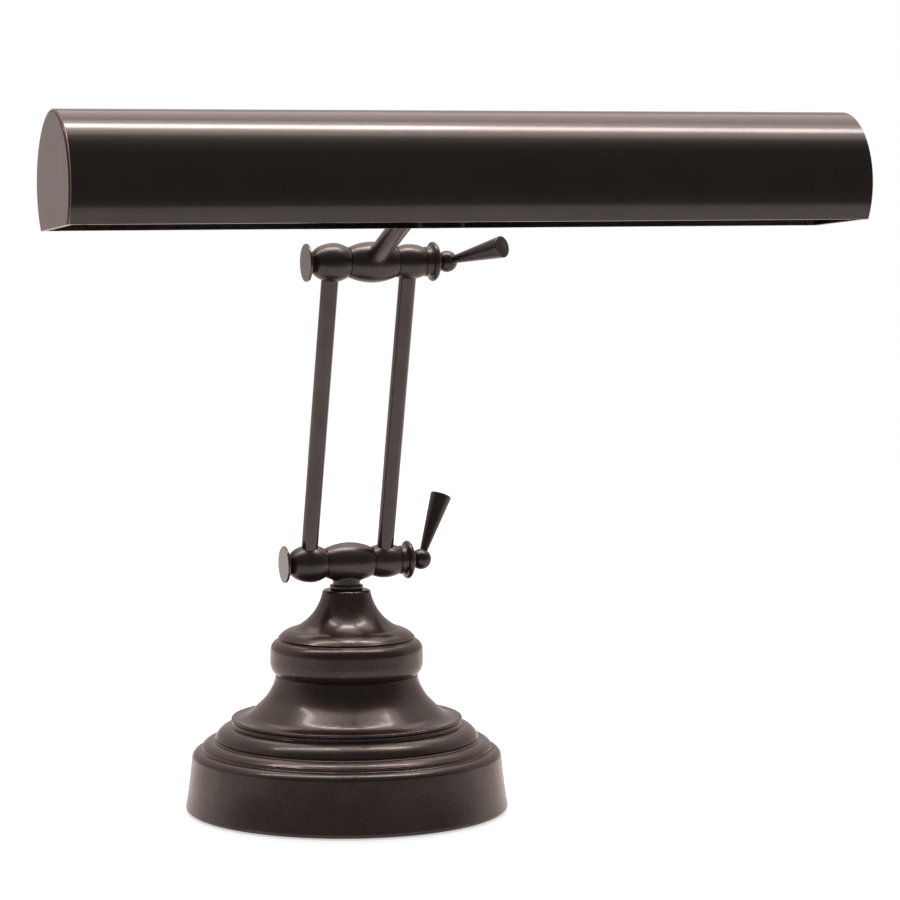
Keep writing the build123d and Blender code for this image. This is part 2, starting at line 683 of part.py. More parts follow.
def make_rod_nut():
    """Hexagon nut that clamps the rod, the shade and the bracket together."""
    with BuildPart() as nut:
        with BuildSketch(wall_plane(ROD_NUT)):
            RegularPolygon(7.0, 6, major_radius=False, rotation=30)
            Circle(ROD_RADIUS + SEAT, mode=Mode.SUBTRACT)
        extrude(amount=STRIP_BACK - ROD_NUT)
    return nut.part


def make_socket_bracket():
    """Folded strap: a back strip under the rod nut and an ear for each socket."""
    half = EAR_GAP / 2
    start = section_plane(BARREL_MID - half - SHEET)
    with BuildPart() as bracket:
        with BuildSketch(start):
            with Locations((STRIP_BACK, SHADE_RISE)):
                Rectangle(SHEET - 0.1, 14, align=(Align.MIN, Align.CENTER))
        extrude(amount=EAR_GAP + 2 * SHEET)
        for x in (BARREL_MID - half - SHEET, BARREL_MID + half):
            with BuildSketch(section_plane(x)):
                with Locations(((EAR_FRONT + EAR_BACK) / 2, BULB_RISE)):
                    RectangleRounded(EAR_BACK - EAR_FRONT, EAR_HEIGHT, 3)
            extrude(amount=SHEET)
        with BuildSketch(wall_plane(ROD_NUT)):
            Circle(ROD_RADIUS + SEAT)
        extrude(amount=10, mode=Mode.SUBTRACT)
        with BuildSketch(start):
            with Locations((-SOCKET_SCREW, BULB_RISE), (SOCKET_SCREW, BULB_RISE)):
                Circle(SOCKET_SCREW_RADIUS + SEAT)
        extrude(amount=EAR_GAP + 2 * SHEET, mode=Mode.SUBTRACT)
    return bracket.part


def make_switch_plate():
    """Cross plate between the ears that carries the switch."""
    with BuildPart() as plate:
        with BuildSketch(level_plane(SWITCH_BACK, SWITCH_PLATE)):
            Rectangle(EAR_GAP, 19)
            Circle(SWITCH_NECK + SEAT, mode=Mode.SUBTRACT)
        extrude(amount=SHEET)
    return plate.part


def make_switch_body():
    """Rotary switch: case above the plate, threaded neck through it."""
    with BuildPart() as body:
        with BuildSketch(level_plane(SWITCH_BACK, SWITCH_PLATE + SHEET)):
            RectangleRounded(15, 18, 1.5)
        extrude(amount=12)
        with BuildSketch(level_plane(SWITCH_BACK, NECK_END)):
            Circle(SWITCH_NECK)
        extrude(amount=SWITCH_PLATE + SHEET - NECK_END)
        with BuildSketch(level_plane(SWITCH_BACK, NECK_END)):
            Circle(SPINDLE + FIT)
        extrude(amount=SPINDLE_LENGTH, mode=Mode.SUBTRACT)
    return body.part


def make_switch_nut():
    with BuildPart() as nut:
        with BuildSketch(level_plane(SWITCH_BACK, SWITCH_PLATE - 2.0)):
            RegularPolygon(6.5, 6, major_radius=False)
            Circle(SWITCH_NECK + SEAT, mode=Mode.SUBTRACT)
        extrude(amount=2.0)
    return nut.part


def make_switch_knob():
    """Fluted knob on a short spindle that turns in the switch's neck."""
    with BuildPart() as knob:
        with BuildSketch(level_plane(SWITCH_BACK, KNOB_START)):
            Circle(KNOB_RADIUS)
            with PolarLocations(KNOB_RADIUS + 0.4, FLUTES):
                Circle(1.1, mode=Mode.SUBTRACT)
        extrude(amount=KNOB_HEIGHT)
        with BuildSketch(level_plane(SWITCH_BACK, KNOB_START + KNOB_HEIGHT)):
            Circle(SPINDLE)
        extrude(amount=SPINDLE_LENGTH)
    return knob.part


def socket_plane(side):
    """Plane through the bulb axis: local x outwards along the lamp from the bracket's ear."""
    ear = shade_point(BARREL_MID + side * (EAR_GAP / 2 + SHEET), 0, BULB_RISE)
    return Plane(origin=ear, x_dir=(side, 0, 0), z_dir=SHADE_BACK * -side)


def turn(side, outline):
    """Revolve a closed outline, given as distance along the bulb axis and radius."""
    plane = socket_plane(side)
    with BuildSketch(plane) as profile:
        with BuildLine():
            Polyline(*outline, close=True)
        make_face()
    revolve(profile.sketch, axis=Axis(plane.origin, plane.x_dir))


def make_socket(side):
    """Insulating socket body, open at its outer end, with a lip."""
    with BuildPart() as socket:
        turn(side, [
            (0, 0), (0, SOCKET_RADIUS - 2.5), (2.5, SOCKET_RADIUS), (SOCKET_LENGTH, SOCKET_RADIUS),
            (SOCKET_LENGTH, SCREW_BASE + 1.0), (SOCKET_FLOOR, SCREW_BASE + 1.0), (SOCKET_FLOOR, 0),
        ])
        lip = socket.edges().filter_by(GeomType.CIRCLE).group_by(SortBy.RADIUS)[-1]
        fillet(lip, radius=0.8)
        for back in (-SOCKET_SCREW, SOCKET_SCREW):
            ear = shade_point(BARREL_MID + side * (EAR_GAP / 2 + SHEET), back, BULB_RISE)
            with BuildSketch(Plane(origin=ear, z_dir=(side, 0, 0))):
                Circle(SOCKET_SCREW_RADIUS + SEAT)
            extrude(amount=SOCKET_SCREW_DEPTH + 0.2, mode=Mode.SUBTRACT)
    return socket.part


def make_screw_shell(side):
    """Brass sleeve inside the socket that the bulb screws into."""
    outer = SCREW_BASE + 1.0 - SEAT
    inner = SCREW_BASE + 0.35
    with BuildPart() as sleeve:
        turn(side, [
            (SOCKET_FLOOR, 4.0), (SOCKET_FLOOR, outer), (34.0, outer), (34.0, inner),
            (SOCKET_FLOOR + 0.6, inner), (SOCKET_FLOOR + 0.6, 4.0),
        ])
    return sleeve.part


def make_socket_screws():
    """Four round-head screws through the ears into the sockets."""
    with BuildPart() as screws:
        for side in (-1, 1):
            for back in (-SOCKET_SCREW, SOCKET_SCREW):
                head = shade_point(BARREL_MID + side * (EAR_GAP / 2 - SOCKET_SCREW_HEAD), back, BULB_RISE)
                with BuildSketch(Plane(origin=head, z_dir=(side, 0, 0))):
                    Circle(2.6)
                extrude(amount=SOCKET_SCREW_HEAD)
                with BuildSketch(Plane(origin=head, z_dir=(side, 0, 0))):
                    Circle(SOCKET_SCREW_RADIUS)
                extrude(amount=SOCKET_SCREW_HEAD + SHEET + SOCKET_SCREW_DEPTH)
    return screws.part


def make_bulb_base(side):
    """Screw base: contact tip, insulator cone and threaded cup."""
    tip = BULB_START
    with BuildPart() as base:
        turn(side, [
            (tip, 0), (tip, 3.4), (tip + 2.2, 5.0), (tip + 5.5, SCREW_BASE - 1.2),
            (tip + 7.0, SCREW_BASE), (tip + 25.0, SCREW_BASE), (tip + 25.0, SCREW_BASE - 0.5),
            (tip + 8.0, SCREW_BASE - 0.5), (tip + 7.0, 0),
        ])
    return base.part


def revolve_envelope(side, inset, mode):
    """Neck, S-shaped shoulder, straight tube and domed end, all drawn in by an inset."""
    plane = socket_plane(side)
    neck = SCREW_BASE - 0.5 - SEAT - inset
    wall = BULB_RADIUS - inset
    middle = ((SHOULDER_START + SHOULDER_END) / 2, (neck + wall) / 2)
    start = BULB_START + CUP_START
    dome = BULB_START + BULB_LENGTH - DOME
    tip = dome + DOME - inset
    quarter = (dome + (DOME - inset) * sin(radians(45)), wall * cos(radians(45)))
    with BuildSketch(plane) as profile:
        with BuildLine():
            Polyline((start, 0), (start, neck), (SHOULDER_START, neck))
            TangentArc((SHOULDER_START, neck), middle, tangent=(1, 0))
            TangentArc((SHOULDER_END, wall), middle, tangent=(-1, 0))
            Line((SHOULDER_END, wall), (dome, wall))
            Spline((dome, wall), quarter, (tip, 0), tangents=[(1, 0), (0, -1)])
            Line((tip, 0), (start, 0))
        make_face()
    revolve(profile.sketch, axis=Axis(plane.origin, plane.x_dir), mode=mode)


def make_bulb_glass(side):
    """Tubular envelope, open at the neck that is cemented into the base."""
    with BuildPart() as glass:
        revolve_envelope(side, 0, Mode.ADD)
        revolve_envelope(side, GLASS, Mode.SUBTRACT)
    return glass.part


# ------------------------------------------------------------------ build and write
os.makedirs("parts", exist_ok=True)

save(make_base_piece(NECK_JOINT, BASE_TOP), "base_neck")
save(make_base_piece(RING_JOINT, NECK_JOINT), "base_ring")
save(make_base_piece(FLARE_JOINT, RING_JOINT), "base_flare")
save(make_base_piece(0, FLARE_JOINT), "base_foot")
save(make_check_ring(), "check_ring")
save(make_base_weight(), "base_weight")
save(make_bottom_plate(), "bottom_plate")
save(make_cover_screws(), "cover_screws")
save(make_felt_pad(), "felt_pad")
save(make_base_nipple(), "base_nipple")
save(make_lock_washer(), "lock_washer")
save(make_nipple_nut(), "nipple_nut")
save(make_cord_bushing(), "cord_bushing")
save(make_base_knuckle(), "base_knuckle")
save(make_head_knuckle(), "head_knuckle")

for place, hub, along in (("lower", LOWER_HUB, ARM_UP), ("upper", UPPER_HUB, -ARM_UP)):
    save(make_left_knuckle(hub, along), f"{place}_left_knuckle")
    save(make_right_knuckle(hub, along), f"{place}_right_knuckle")
    save(make_friction_washers(hub), f"{place}_friction_washers")
    save(make_bolt(hub), f"{place}_bolt")
    save(make_collar(hub), f"{place}_collar")
    save(make_ball_nut(hub, lever_direction(place)), f"{place}_ball_nut")
    save(make_lever(hub, lever_direction(place)), f"{place}_lever")

save(make_shade_shell(), "shade_shell")
save(make_support_rod(), "support_rod")
save(make_rod_collar(), "rod_collar")
save(make_rod_nut(), "rod_nut")
save(make_socket_bracket(), "socket_bracket")
save(make_socket_screws(), "socket_screws")
save(make_switch_plate(), "switch_plate")
save(make_switch_body(), "switch_body")
save(make_switch_nut(), "switch_nut")
save(make_switch_knob(), "switch_knob")
for side, hand in ((-1, "left"), (1, "right")):
    save(make_arm(side), f"{hand}_arm")
    save(make_end_cap(side), f"{hand}_end_cap")
    save(make_socket(side), f"{hand}_socket")
    save(make_screw_shell(side), f"{hand}_screw_shell")
    save(make_bulb_base(side), f"{hand}_bulb_base")
    save(make_bulb_glass(side), f"{hand}_bulb_glass")
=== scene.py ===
# %% [markdown]
# # A piano lamp in dark rubbed bronze
#
# This lesson dresses a finished CAD model of a piano lamp: a weighted turned base, two
# parallel arms between two clamped hubs, and a long trough shade over two tubular bulbs.
# The shapes come from the CAD file and stay as they are. What is left for Blender is the
# camera, the light, the finishes, and the fine detail that a CAD solid leaves out.

# %% Load the CAD model
import json
from math import pi, radians

import bpy
import numpy as np
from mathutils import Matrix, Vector

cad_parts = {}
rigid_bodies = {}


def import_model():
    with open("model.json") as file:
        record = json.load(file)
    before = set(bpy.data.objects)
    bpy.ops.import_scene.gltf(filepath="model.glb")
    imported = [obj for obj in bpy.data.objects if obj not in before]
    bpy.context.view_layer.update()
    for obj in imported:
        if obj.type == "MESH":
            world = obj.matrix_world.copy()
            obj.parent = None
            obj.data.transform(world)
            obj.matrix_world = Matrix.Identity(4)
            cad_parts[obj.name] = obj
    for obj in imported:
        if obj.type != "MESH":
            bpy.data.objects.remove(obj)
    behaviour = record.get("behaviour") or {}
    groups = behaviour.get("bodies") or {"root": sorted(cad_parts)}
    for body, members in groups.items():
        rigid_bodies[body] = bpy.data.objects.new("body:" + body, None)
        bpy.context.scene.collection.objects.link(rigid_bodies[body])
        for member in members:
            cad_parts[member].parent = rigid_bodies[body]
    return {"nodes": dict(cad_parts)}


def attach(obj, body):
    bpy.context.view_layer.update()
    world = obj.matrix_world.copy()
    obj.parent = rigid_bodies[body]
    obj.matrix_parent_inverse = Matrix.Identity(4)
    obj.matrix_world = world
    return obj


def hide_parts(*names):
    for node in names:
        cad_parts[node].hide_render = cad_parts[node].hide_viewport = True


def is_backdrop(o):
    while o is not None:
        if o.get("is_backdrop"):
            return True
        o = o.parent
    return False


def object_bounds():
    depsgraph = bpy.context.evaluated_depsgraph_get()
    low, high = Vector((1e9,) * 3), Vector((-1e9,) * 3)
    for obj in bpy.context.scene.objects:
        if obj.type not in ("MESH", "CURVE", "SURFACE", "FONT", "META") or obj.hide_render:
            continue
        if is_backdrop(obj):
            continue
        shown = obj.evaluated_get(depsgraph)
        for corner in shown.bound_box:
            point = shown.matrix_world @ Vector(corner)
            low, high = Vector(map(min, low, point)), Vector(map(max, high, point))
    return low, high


for leftover in list(bpy.data.objects):
    bpy.data.objects.remove(leftover)
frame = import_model()
bpy.context.view_layer.update()
cad_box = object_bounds()

# %% [markdown]
# ## The camera
#
# A lamp catalogue is shot with a long lens from a little above the table, so that the upright
# parts stay parallel. A 133 mm lens from a metre and a half away does that. The camera could
# be aimed with a Track To constraint, but plain numbers are easier to read and to repeat.

# %% Place the camera
lens = bpy.data.cameras.new("catalogue_lens")
lens.sensor_width = 36
lens.lens = 133.24
camera = bpy.data.objects.new("catalogue_camera", lens)
camera.location = (-0.4779, -1.5067, 0.3120)
camera.rotation_euler = (radians(90 - 5.041), 0, radians(-19.392))
bpy.context.scene.collection.objects.link(camera)
bpy.context.scene.camera = camera
bpy.context.scene.view_settings.view_transform = "Standard"
place = tuple(round(v, 3) for v in camera.location)
print("camera at", place, "with a", round(lens.lens), "mm lens")

# %% [markdown]
# ## A helper for node trees
#
# Shader nodes can be wired by hand in the Shading workspace. In a script the same wiring gets
# long, so one small function adds a node, sets its options and plugs its inputs in one line.

# %% Add a shader node in one line
def add_node(tree, kind, inputs=None, **options):
    """One node. `inputs` maps a socket's name or number to a value or another node's output."""
    made = tree.nodes.new(kind)
    for name, value in options.items():
        setattr(made, name, value)
    for name, value in (inputs or {}).items():
        if isinstance(value, bpy.types.NodeSocket):
            tree.links.new(value, made.inputs[name])
        else:
            made.inputs[name].default_value = value
    return made


def math_node(tree, operation, first, second=0.0, third=0.0, clamp=False):
    """The output of one Math node; each operand is a number or a socket."""
    operands = {0: first, 1: second, 2: third}
    options = {"operation": operation, "use_clamp": clamp}
    return add_node(tree, "ShaderNodeMath", operands, **options).outputs[0]


def smooth_step(tree, value, low, high, start=0.0, end=1.0):
    """A soft ramp: `start` below `low`, `end` above `high`, an S-curve between."""
    ramp = {"Value": value, "From Min": low, "From Max": high, "To Min": start, "To Max": end}
    return add_node(tree, "ShaderNodeMapRange", ramp, interpolation_type="SMOOTHSTEP").outputs[0]


def mix_numbers(tree, factor, first, second):
    """Between two numbers: `first` where the factor is 0, `second` where it is 1."""
    operands = {0: factor, 2: first, 3: second}
    return add_node(tree, "ShaderNodeMix", operands, data_type="FLOAT").outputs[0]


def mix_colours(tree, factor, first, second):
    """Between two colours, in the same way."""
    operands = {0: factor, 6: first, 7: second}
    return add_node(tree, "ShaderNodeMix", operands, data_type="RGBA").outputs[2]


print("node helpers ready")

# %% [markdown]
# ## The room
#
# Dark glossy metal shows its surroundings more than its own colour. A white sweep behind the
# lamp gives the pale line along each outline, and the darker side of the room, where the
# camera stands, gives the deep brown in the middle of each round form. The world does both:
# the camera sees plain white everywhere, and reflections see white behind and above and dark
# in front. A panorama of a real studio would do as well, but it would be a file. Matt surfaces
# get a third, softer version with less contrast.

# %% Paint the world
TOWARDS_SWEEP = (0.16, 0.98, 0.12)
DARK_SIDE = 0.14                        # how bright the gloss sees the room in front
SWEEP_LOW, SWEEP_HIGH = 0.66, 0.86      # and the sweep, near the table and overhead
MATT_FRONT, MATT_BACK = 0.62, 0.86      # the same two sides for matt surfaces

world = bpy.data.worlds.new("studio_room")
bpy.context.scene.world = world
world.use_nodes = True
tree = world.node_tree
tree.nodes.clear()
looking = add_node(tree, "ShaderNodeTexCoord").outputs["Generated"]
towards_sweep = add_node(
    tree, "ShaderNodeVectorMath", {0: looking, 1: TOWARDS_SWEEP}, operation="DOT_PRODUCT"
).outputs["Value"]
ray = add_node(tree, "ShaderNodeLightPath").outputs
upward = add_node(tree, "ShaderNodeSeparateXYZ", {0: looking}).outputs["Z"]
sweep = smooth_step(tree, upward, 0.30, 0.75, SWEEP_LOW, SWEEP_HIGH)
front_to_back = smooth_step(tree, towards_sweep, -0.35, 0.35)
contrast = math_node(tree, "SUBTRACT", sweep, DARK_SIDE)
reflected = math_node(tree, "MULTIPLY_ADD", front_to_back, contrast, DARK_SIDE)
soft = smooth_step(tree, towards_sweep, -1.0, 0.6, MATT_FRONT, MATT_BACK)
room = mix_numbers(tree, ray["Is Glossy Ray"], soft, reflected)
plain = math_node(tree, "MAXIMUM", ray["Is Camera Ray"], ray["Is Transmission Ray"])
level = mix_numbers(tree, plain, room, 1.0)
white = {"Color": (1.0, 1.0, 1.0, 1.0), "Strength": level}
backdrop = add_node(tree, "ShaderNodeBackground", white)
add_node(tree, "ShaderNodeOutputWorld", {"Surface": backdrop.outputs[0]})
print("world: white for the camera, white to dark for reflections")

# %% [markdown]
# ## The table
#
# The lamp stands on a sheet of white card. The card has to look white and still take the
# lamp's shadow, so it is a diffuse white with a little light of its own that only the camera
# and the gloss of the metal see. It ends half a metre in front of the shade, which is what
# puts the lighter band along the lower edge of the shade and down the middle of the arms. From
# beneath it is clear, so the underside of the lamp can be looked at as well.

# %% Lay the white card
CARD_REACH = (1.6, 1.23, 1.0)
CARD_MIDDLE = (0.1, 0.58, -0.0002)      # a hair below the felt, so that no two faces meet
LIT_FOR_CAMERA, LIT_FOR_GLOSS = 0.55, 0.52


def circle_points(count=96):
    """Points on a circle of radius 1: (cos t, sin t, 0)."""
    t = np.linspace(0, 2 * pi, count, endpoint=False)
    return np.stack([np.cos(t), np.sin(t), np.zeros(count)], axis=1)


card_points = circle_points() * CARD_REACH + CARD_MIDDLE
card_mesh = bpy.data.meshes.new("white_card")
card_mesh.from_pydata(card_points.tolist(), [], [list(range(len(card_points)))])
card = bpy.data.objects.new("white_card", card_mesh)
bpy.context.scene.collection.objects.link(card)
card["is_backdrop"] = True

paper = bpy.data.materials.new("card_white")
paper.use_nodes = True
tree = paper.node_tree
tree.nodes.clear()
ray = add_node(tree, "ShaderNodeLightPath").outputs
mirrored = math_node(tree, "MULTIPLY", ray["Is Glossy Ray"], LIT_FOR_GLOSS)
seen = math_node(tree, "MULTIPLY_ADD", ray["Is Camera Ray"], LIT_FOR_CAMERA, mirrored)
matt = add_node(tree, "ShaderNodeBsdfDiffuse", {"Color": (0.82, 0.82, 0.82, 1.0)}).outputs[0]
white_light = {"Color": (1.0, 1.0, 1.0, 1.0), "Strength": seen}
lift = add_node(tree, "ShaderNodeEmission", white_light).outputs[0]
both = add_node(tree, "ShaderNodeAddShader", {0: matt, 1: lift}).outputs[0]
clear = add_node(tree, "ShaderNodeBsdfTransparent").outputs[0]
beneath = add_node(tree, "ShaderNodeNewGeometry").outputs["Backfacing"]
sided = add_node(tree, "ShaderNodeMixShader", {0: beneath, 1: both, 2: clear}).outputs[0]
add_node(tree, "ShaderNodeOutputMaterial", {"Surface": sided})
card_mesh.materials.append(paper)
print("card:", len(card_mesh.polygons), "face")

# %% [markdown]
# ## The lamps
#
# A wide soft box behind the set lights it evenly. A row of three long tubes overhead draws
# the one bright line that runs along the shade and comes back on every bead of the base, and
# a wide panel above them, the glow, gives the soft band beside that line. These four are there
# for the gloss alone: their light on matt surfaces is switched off, so a white surface stays
# white. All are area lights, because a point light would make small round glints instead.

# %% Hang the soft box and the tubes
def area_light(name, place, size, watts):
    """A rectangular light at `place` that shines straight down."""
    data = bpy.data.lights.new(name, "AREA")
    data.shape = "RECTANGLE"
    data.size, data.size_y = size
    data.energy = watts
    lamp = bpy.data.objects.new(name, data)
    lamp.location = place
    bpy.context.scene.collection.objects.link(lamp)
    return lamp


soft_box = area_light("soft_box", (0.35, 0.80, 1.30), (1.6, 0.75), 4.4)
away = soft_box.location - Vector((0.0, -0.1, 0.2))
soft_box.rotation_euler = away.to_track_quat("Z", "Y").to_euler()

ROW_TURN = radians(-13.7)
TUBES = {       # name: (place, (length, width), watts)
    "far_tube": ((-0.67, 0.264, 1.505), (1.00, 0.12), 6.0),
    "left_tube": ((0.12, 0.064, 1.505), (0.62, 0.17), 7.9),
    "right_tube": ((0.63, -0.060, 1.515), (0.42, 0.17), 3.7),
    "glow": ((0.15, 0.055, 1.53), (1.90, 0.76), 8.0),
}
for name, (place, size, watts) in TUBES.items():
    tube = area_light(name, place, size, watts)
    tube.rotation_euler = (0, 0, ROW_TURN)
    tube.visible_diffuse = False
print("lights:", soft_box.name, *TUBES)

# %% [markdown]
# ## Effects that several finishes share
#
# Rubbed bronze is a dark brown stain over brass, wiped thin where hands and polishing cloths
# reach. Four effects make it: a cloudy stain, bare copper on the raised edges, fine rings
# left by the spinning lathe, and the faint ripple of the lacquer on top. Each could be copied
# into every material, but a node group with named inputs is built once and used many times.

# %% Start a node group
def new_group(name, wanted, given):
    """An empty shader group.

    `wanted` maps each input to its socket type and value, `given` each output to its type.
    """
    group = bpy.data.node_groups.new(name, "ShaderNodeTree")
    for label, (kind, value) in wanted.items():
        socket = group.interface.new_socket(label, in_out="INPUT", socket_type=kind)
        if value is not None:
            socket.default_value = value
    for label, kind in given.items():
        group.interface.new_socket(label, in_out="OUTPUT", socket_type=kind)
    inside = group.nodes.new("NodeGroupInput").outputs
    outside = group.nodes.new("NodeGroupOutput").inputs
    return group, inside, outside


FLOAT, COLOUR, VECTOR = "NodeSocketFloat", "NodeSocketColor", "NodeSocketVector"
print("group helper ready")

# %% [markdown]
# ### Cloudy stain
#
# The stain is wiped on by hand, so it lies thicker in some places. Two noises, one the size
# of a thumb and one the size of a pinhead, are added and used to blend a dark and a light
# brown.

# %% Build the stain group
stain, given, made = new_group(
    "cloudy_stain",
    {
        "Place": (VECTOR, None), "Cloud Size": (FLOAT, 0.02), "Speck Size": (FLOAT, 0.0015),
        "Dark": (COLOUR, (0.02, 0.016, 0.014, 1)), "Light": (COLOUR, (0.05, 0.04, 0.03, 1)),
    },
    {"Colour": COLOUR, "Thickness": FLOAT},
)
cloud_scale = math_node(stain, "DIVIDE", 1.0, given["Cloud Size"])
speck_scale = math_node(stain, "DIVIDE", 1.0, given["Speck Size"])
cloudy = {"Vector": given["Place"], "Scale": cloud_scale, "Detail": 5.0, "Roughness": 0.62}
clouds = add_node(stain, "ShaderNodeTexNoise", cloudy).outputs["Fac"]
speckled = {"Vector": given["Place"], "Scale": speck_scale, "Detail": 2.0}
specks = add_node(stain, "ShaderNodeTexNoise", speckled).outputs["Fac"]
SPECK_SHARE = 0.35
cloud_part = math_node(stain, "MULTIPLY", clouds, 1 - SPECK_SHARE)
together = math_node(stain, "MULTIPLY_ADD", specks, SPECK_SHARE, cloud_part)
thickness = smooth_step(stain, together, 0.36, 0.66)
stain.links.new(mix_colours(stain, thickness, given["Dark"], given["Light"]), made["Colour"])
stain.links.new(thickness, made["Thickness"])
print("group:", stain.name)

# %% [markdown]
# ### Rubbed edges
#
# Polishing takes the stain off the raised edges and leaves it in the grooves. The Bevel node
# says how a surface would turn if its edges were rounded, so where that differs from the true
# normal there is an edge. Ambient Occlusion is low in a groove, so multiplying by it keeps
# only the edges that stand out. Pointiness would be cheaper, but it needs vertices that are
# joined, and a CAD mesh is loose triangles.

# %% Build the edge group
rub, given, made = new_group(
    "rubbed_edges",
    {
        "Place": (VECTOR, None), "Reach": (FLOAT, 0.0006),
        "Onset": (FLOAT, 0.02), "Full": (FLOAT, 0.16),
    },
    {"Bare": FLOAT},
)
rounded = add_node(rub, "ShaderNodeBevel", {"Radius": given["Reach"]}, samples=6).outputs[0]
true_normal = add_node(rub, "ShaderNodeNewGeometry").outputs["Normal"]
agree = add_node(
    rub, "ShaderNodeVectorMath", {0: rounded, 1: true_normal}, operation="DOT_PRODUCT"
).outputs["Value"]
turned = math_node(rub, "SUBTRACT", 1.0, agree)
sharp = {"Value": turned, "From Min": given["Onset"], "From Max": given["Full"]}
edge = add_node(rub, "ShaderNodeMapRange", sharp).outputs[0]
open_air = add_node(rub, "ShaderNodeAmbientOcclusion", {"Distance": 0.002}, samples=6).outputs["AO"]
raised = smooth_step(rub, open_air, 0.62, 0.92)
blotches = {"Vector": given["Place"], "Scale": 170.0, "Detail": 4.0}
patches = add_node(rub, "ShaderNodeTexNoise", blotches).outputs["Fac"]
patchy = smooth_step(rub, patches, 0.30, 0.62, 0.25, 1.0)
bare = math_node(rub, "MULTIPLY", math_node(rub, "MULTIPLY", edge, raised), patchy, clamp=True)
rub.links.new(bare, made["Bare"])
print("group:", rub.name)

# %% [markdown]
# ### Lathe lines
#
# Spun and turned metal keeps hair-fine rings. On a ring only the height along the axis and
# the distance from it matter, so the noise is looked up at that pair of numbers. The input is
# a place whose Z runs along the turning axis.

# %% Build the lathe group
lathe, given, made = new_group(
    "lathe_lines", {"Place": (VECTOR, None), "Spacing": (FLOAT, 0.0004)}, {"Height": FLOAT}
)
parts = add_node(lathe, "ShaderNodeSeparateXYZ", {0: given["Place"]}).outputs
flat = add_node(lathe, "ShaderNodeCombineXYZ", {0: parts["X"], 1: parts["Y"], 2: 0.0}).outputs[0]
distance = add_node(lathe, "ShaderNodeVectorMath", {0: flat}, operation="LENGTH").outputs["Value"]
pair = add_node(lathe, "ShaderNodeCombineXYZ", {0: distance, 1: parts["Z"], 2: 0.0}).outputs[0]
fineness = math_node(lathe, "DIVIDE", 1.0, given["Spacing"])
ringed = {"Vector": pair, "Scale": fineness, "Detail": 3.0, "Roughness": 0.6}
rings = add_node(lathe, "ShaderNodeTexNoise", ringed, noise_dimensions="2D").outputs["Fac"]
lathe.links.new(rings, made["Height"])
print("group:", lathe.name)

# %% [markdown]
# ## Rubbed bronze
#
# One function makes the bronze of every part: the shader stays in the material, and the
# groups feed its colour, roughness, metal and bump. Metal still shows through the thin stain,
# so the shader takes it as seven tenths metal, and the bare copper on the edges as all metal.
# A thin clear coat gives the sharp lines over the softer glow below. Each part has its own
# turning axis, which a Mapping node brings to Z.

# %% Helpers for a material
def start_material(name):
    """An empty material and its node tree."""
    material = bpy.data.materials.new(name)
    material.use_nodes = True
    material.node_tree.nodes.clear()
    return material, material.node_tree


def object_place(tree, centre=(0, 0, 0), turn=(0, 0, 0)):
    """Object coordinates, moved and turned so that Z runs along the part's own axis."""
    here = add_node(tree, "ShaderNodeTexCoord").outputs["Object"]
    moved = {"Vector": here, "Location": centre, "Rotation": turn}
    return add_node(tree, "ShaderNodeMapping", moved, vector_type="TEXTURE").outputs[0]


def use_group(tree, group, **values):
    """A shared group in this material, its inputs given with _ for each space."""
    made = tree.nodes.new("ShaderNodeGroup")
    made.node_tree = group
    for label, value in values.items():
        socket = made.inputs[label.replace("_", " ")]
        if isinstance(value, bpy.types.NodeSocket):
            tree.links.new(value, socket)
        else:
            socket.default_value = value
    return made.outputs


def finish_material(tree, **inputs):
    """The Principled BSDF and the output, inputs given with _ for each space."""
    named = {label.replace("_", " "): value for label, value in inputs.items()}
    shader = add_node(tree, "ShaderNodeBsdfPrincipled", named)
    add_node(tree, "ShaderNodeOutputMaterial", {"Surface": shader.outputs[0]})
    return shader


def bump(tree, height, strength, depth):
    """Height turned into a tilted normal."""
    slope = {"Height": height, "Strength": strength, "Distance": depth}
    return add_node(tree, "ShaderNodeBump", slope).outputs[0]


print("material helpers ready")

# %% Mix the bronze
COPPER = (0.47, 0.235, 0.13, 1.0)
RIPPLE = 0.16               # how much of the bump is the lacquer's ripple
STAIN_METAL = 0.7


